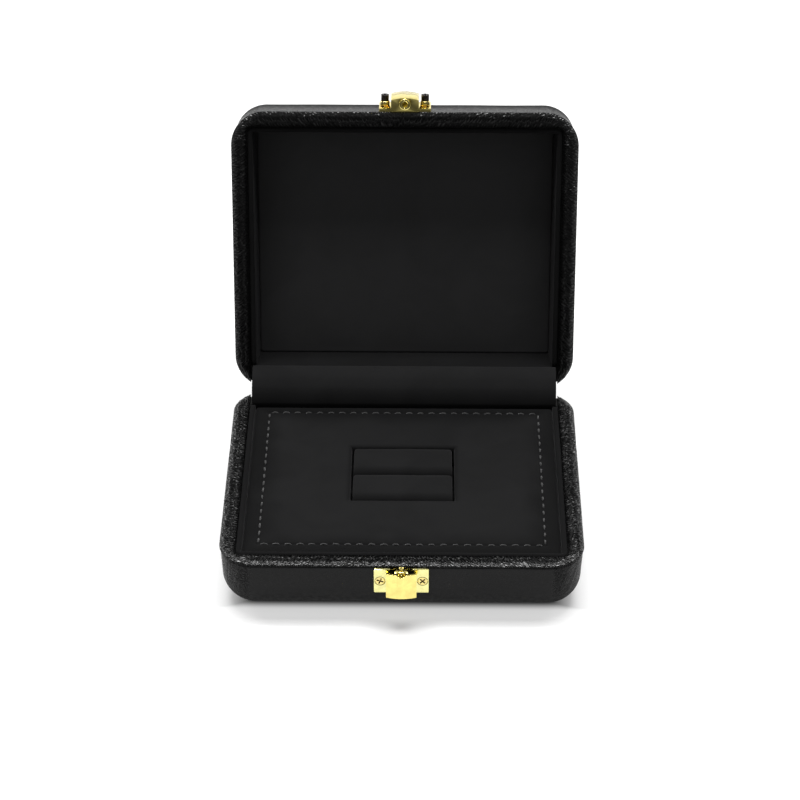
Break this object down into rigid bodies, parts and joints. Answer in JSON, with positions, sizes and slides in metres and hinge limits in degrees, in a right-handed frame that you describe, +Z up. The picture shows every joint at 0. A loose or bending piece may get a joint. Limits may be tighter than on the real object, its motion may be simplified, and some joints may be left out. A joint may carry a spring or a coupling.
{
  "type": "ring display box",
  "caption": "Hinged leather-wrapped box for displaying a ring, with a suede lining, a stitched pad with a ring slot, and a press latch.",
  "frame": {"origin": "centre of the base's underside, on the table", "axes": "+X to the box's right seen from the front, +Y from the front latch towards the hinge, +Z up; the lid is stored open"},
  "size_m": [0.132, 0.161, 0.1387],
  "materials": {
    "shell_wood": "sanded close-grained wood, hidden under the leather",
    "grain_leather": "black leather embossed with a fine pebbled reptile grain, semi-gloss",
    "rim_leather": "the same black leather turned over the rims, slightly polished",
    "spine_leather": "black leather strip over the hinge",
    "foot_felt": "pressed black felt",
    "wall_suede": "black microsuede over card",
    "pad_suede": "black microsuede over foam",
    "roll_suede": "black microsuede over soft foam",
    "panel_suede": "black microsuede over thin wadding",
    "flap_suede": "black microsuede strip",
    "card": "grey board",
    "foam": "soft polyurethane foam",
    "stitch_thread": "dark grey sewing thread",
    "latch_gold": "polished brass, gold plated",
    "screw_gold": "polished brass",
    "screw_black": "blackened screw heads",
    "pin_steel": "drawn steel wire",
    "spring_bronze": "phosphor bronze strip",
    "hinge_steel": "rolled steel strip",
    "rivet_brass": "brass rivets"
  },
  "bodies": {
    "base": {"base_core": "shell_wood", "base_wrap": "grain_leather", "base_foot_sheet": "foot_felt", "base_rim_trim": "rim_leather", "base_liner": "wall_suede", "insert_board": "card", "insert_foam": "foam", "insert_cover": "pad_suede", "insert_stitching": "stitch_thread", "slot_well": "wall_suede", "ring_roll_front": "roll_suede", "ring_roll_rear": "roll_suede", "latch_plate": "latch_gold", "latch_screws": "screw_gold", "latch_pivot_pin": "pin_steel", "latch_spring": "spring_bronze", "hinge_leaf_base": "hinge_steel", "hinge_pin": "pin_steel", "hinge_rivets_base": "rivet_brass", "flap_base": "flap_suede", "spine_base": "spine_leather"},
    "tongue": {"latch_tongue": "latch_gold", "latch_stud": "screw_gold"},
    "lid": {"lid_core": "shell_wood", "lid_padding": "foam", "lid_wrap": "grain_leather", "lid_rim_trim": "rim_leather", "lid_liner": "wall_suede", "lid_panel_board": "card", "lid_panel_cover": "panel_suede", "strike_plate": "latch_gold", "strike_keeper": "screw_gold", "strike_collars": "screw_gold", "strike_screws": "screw_black", "hinge_leaf_lid": "hinge_steel", "hinge_rivets_lid": "rivet_brass", "flap_lid": "flap_suede", "spine_lid": "spine_leather"}
  },
  "joints": [
    {"name": "lid_hinge", "type": "hinge", "parent": "base", "child": "lid", "pos_m": [0, 0.05575, 0.0248], "axis": [1, 0, 0], "range_deg": [0, 103.3]},
    {"name": "tongue_press", "type": "hinge", "parent": "base", "child": "tongue", "pos_m": [0, -0.0582, 0.017], "axis": [1, 0, 0], "range_deg": [0, 5], "stiffness_Nm_per_rad": 0.02, "springref_deg": -8.59}
  ]
}
